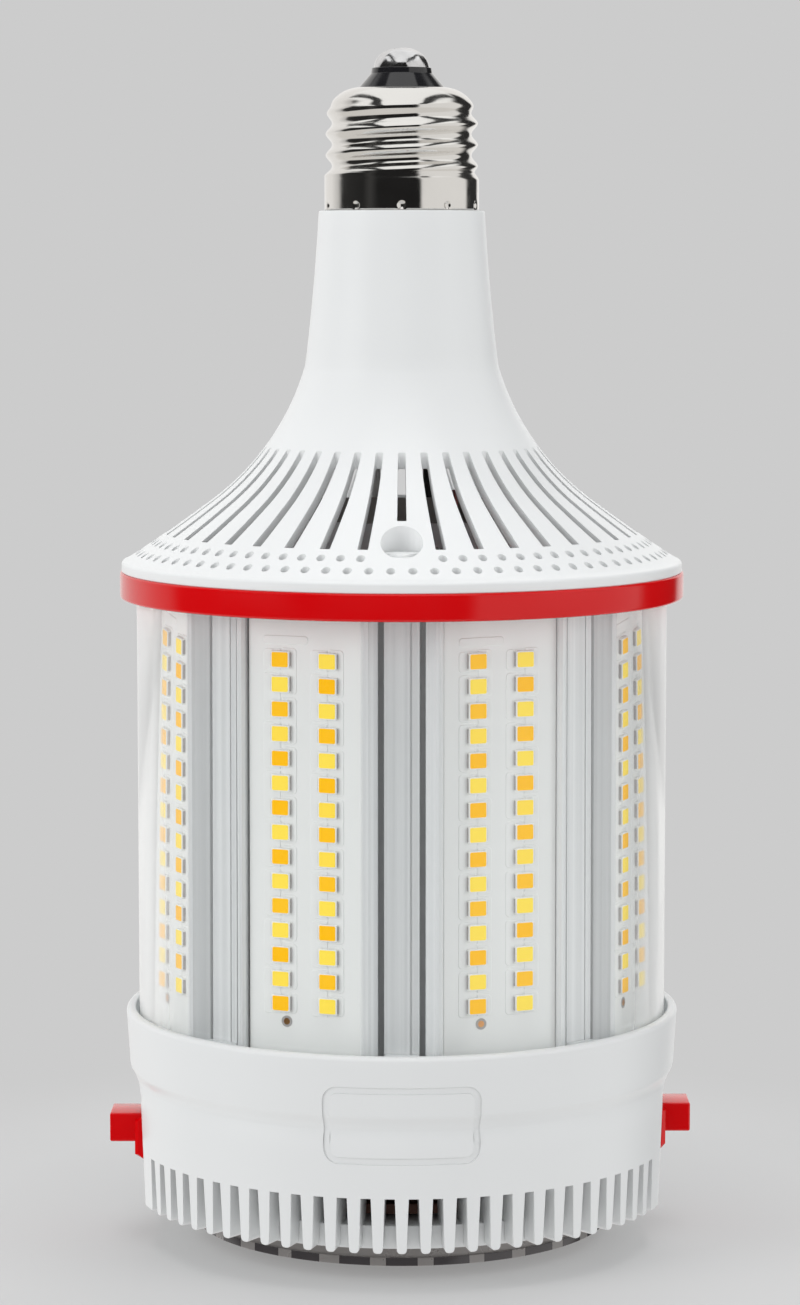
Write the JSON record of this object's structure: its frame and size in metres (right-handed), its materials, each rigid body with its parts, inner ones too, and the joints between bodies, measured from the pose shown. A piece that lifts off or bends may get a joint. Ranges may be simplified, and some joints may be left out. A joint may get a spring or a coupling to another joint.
{
  "type": "led replacement bulb",
  "caption": "Screw-cap LED lamp in the size of a discharge bulb: white ventilated housings, clear tube over LED boards on a finned core, red trim and slide selectors.",
  "frame": {"origin": "on the lamp's axis, in the plane of the end lens's standing rim", "axes": "+Z along the lamp's axis towards the screw cap; -Y is the front, midway between the two selectors"},
  "size_m": [0.1034, 0.0978, 0.2063],
  "materials": {
    "solder": "smooth solder dome",
    "black_gloss": "glossy black",
    "plated_cap": "bright nickel plate",
    "white_plastic": "white, semi-gloss",
    "red_plastic": "red, glossy",
    "clear_plastic": "water-clear, polished",
    "extrusion": "natural extrusion",
    "white_board": "white solder mask",
    "led_phosphor": "phosphor in a white frame",
    "smoky_plastic": "smoky, frosted",
    "brown_board": "phenolic board",
    "black_plastic": "black moulding",
    "driver_board": "brown-grey circuit board",
    "ferrite": "ferrite and tape",
    "copper_winding": "enamelled copper",
    "capacitor_can": "sleeved can",
    "black_lead": "insulated lead",
    "white_lead": "insulated lead",
    "red_lead": "insulated lead",
    "screw_steel": "zinc plate",
    "switch_steel": "tinned steel"
  },
  "bodies": {
    "lamp": {"centre_contact": "solder", "cap_insulator": "black_gloss", "screw_shell": "plated_cap", "upper_housing": "white_plastic", "trim_ring": "red_plastic", "clear_cover": "clear_plastic", "heat_sink": "extrusion", "lower_housing": "white_plastic", "base_ring": "white_plastic", "end_led_board": "white_board", "end_leds": "led_phosphor", "end_lens": "smoky_plastic", "control_board": "brown_board", "driver_sleeve": "black_plastic", "driver_board": "driver_board", "transformer": "ferrite", "inductor": "copper_winding", "capacitors": "capacitor_can", "power_devices": "black_plastic", "live_lead": "black_lead", "neutral_lead": "white_lead", "led_leads": "red_lead", "upper_screws": "screw_steel", "lower_screws": "screw_steel", "power_switch": "switch_steel", "colour_switch": "switch_steel", "led_board_1": "white_board", "leds_1": "led_phosphor", "led_board_2": "white_board", "leds_2": "led_phosphor", "led_board_3": "white_board", "leds_3": "led_phosphor", "led_board_4": "white_board", "leds_4": "led_phosphor", "led_board_5": "white_board", "leds_5": "led_phosphor", "led_board_6": "white_board", "leds_6": "led_phosphor", "led_board_7": "white_board", "leds_7": "led_phosphor", "led_board_8": "white_board", "leds_8": "led_phosphor"},
    "power_selector": {"power_selector": "red_plastic"},
    "colour_selector": {"colour_selector": "red_plastic"},
    "power_lever": {"power_switch_lever": "black_plastic"},
    "colour_lever": {"colour_switch_lever": "black_plastic"}
  },
  "joints": [
    {"name": "power_select", "type": "hinge", "parent": "lamp", "child": "power_selector", "pos_m": [0, 0, 0.0194], "axis": [0, 0, 1], "range_deg": [-10, 0]},
    {"name": "colour_select", "type": "hinge", "parent": "lamp", "child": "colour_selector", "pos_m": [0, 0, 0.0194], "axis": [0, 0, 1], "range_deg": [-10, 0]},
    {"name": "power_lever_slide", "type": "slide", "parent": "lamp", "child": "power_lever", "axis": [0, 1, 0], "range_m": [0, 0.0073]},
    {"name": "colour_lever_slide", "type": "slide", "parent": "lamp", "child": "colour_lever", "axis": [0, -1, 0], "range_m": [0, 0.0073]}
  ],
  "couplings": [
    {"joint": "power_lever_slide", "follows": "power_select", "m_per_rad": -0.04177},
    {"joint": "colour_lever_slide", "follows": "colour_select", "m_per_rad": -0.04177}
  ]
}
